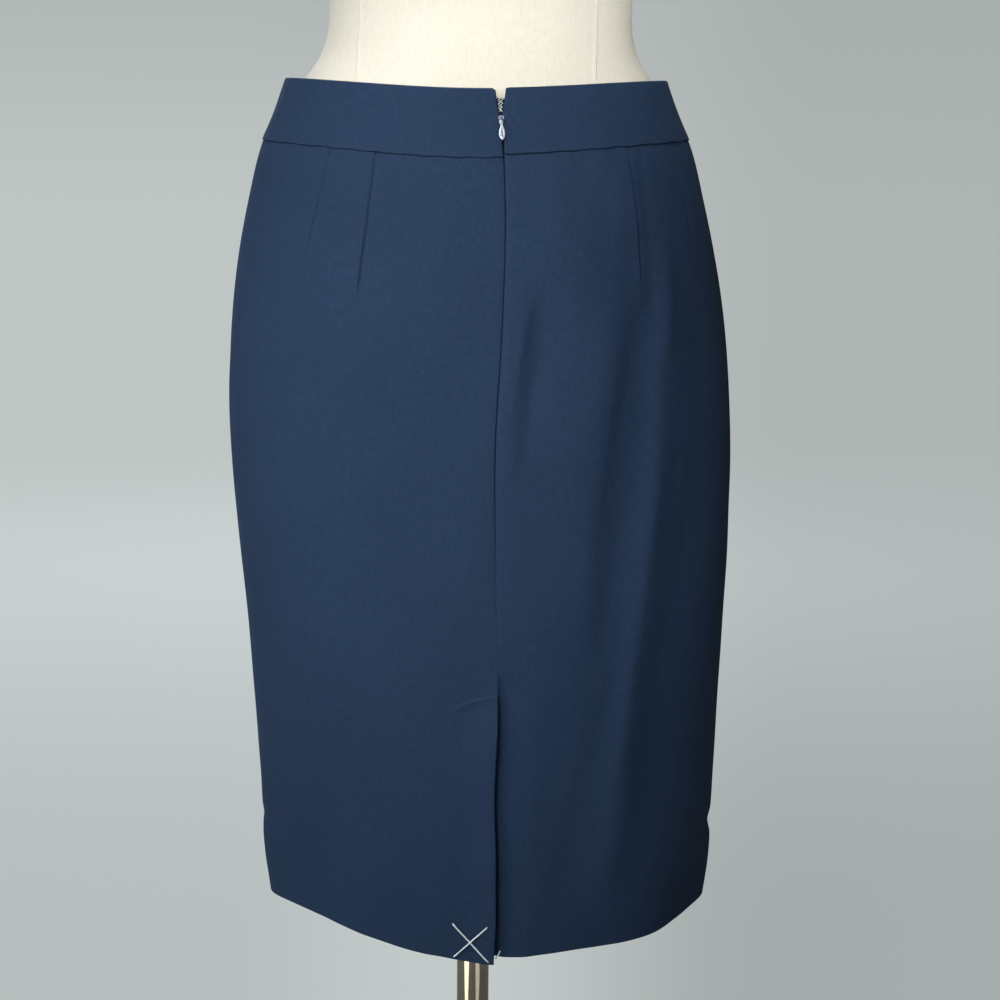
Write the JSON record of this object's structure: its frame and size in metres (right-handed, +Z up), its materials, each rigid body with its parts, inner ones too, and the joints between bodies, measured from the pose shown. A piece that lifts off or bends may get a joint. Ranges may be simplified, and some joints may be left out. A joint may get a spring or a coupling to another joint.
{
  "type": "pencil skirt on a limbless dress form",
  "caption": "Navy pencil skirt with waistband, back zip, darts and vent, worn on a limbless dress form that stands on a pole and a round base.",
  "frame": {"origin": "centre of the underside of the round base, on the floor", "axes": "+Z up along the pole, +Y to the skirt's back with its zip and vent, +X to the wearer's left"},
  "size_m": [0.38, 0.38, 1.6043],
  "materials": {
    "navy_suiting": "matte crepe suiting, navy",
    "zip_metal": "silver-grey plated zinc",
    "form_cover": "cream cotton cover",
    "cap_wood": "satin varnish",
    "pole_nickel": "polished nickel, warm",
    "base_metal": "satin nickel"
  },
  "bodies": {
    "skirt_on_form": {"skirt_front": "navy_suiting", "skirt_back_left": "navy_suiting", "skirt_back_right": "navy_suiting", "waistband_front": "navy_suiting", "waistband_back_left": "navy_suiting", "waistband_back_right": "navy_suiting", "zip_slider": "zip_metal", "form_body": "form_cover", "neck_cap": "cap_wood", "collar": "base_metal", "pole": "pole_nickel", "base": "base_metal"},
    "pull_tab": {"zip_pull": "zip_metal"}
  },
  "joints": [
    {"name": "pull_swing", "type": "hinge", "parent": "skirt_on_form", "child": "pull_tab", "pos_m": [-0.01541, 0.10981, 1.00822], "axis": [0.9962, 0.0677, -0.0552], "range_deg": [0, 120]}
  ]
}
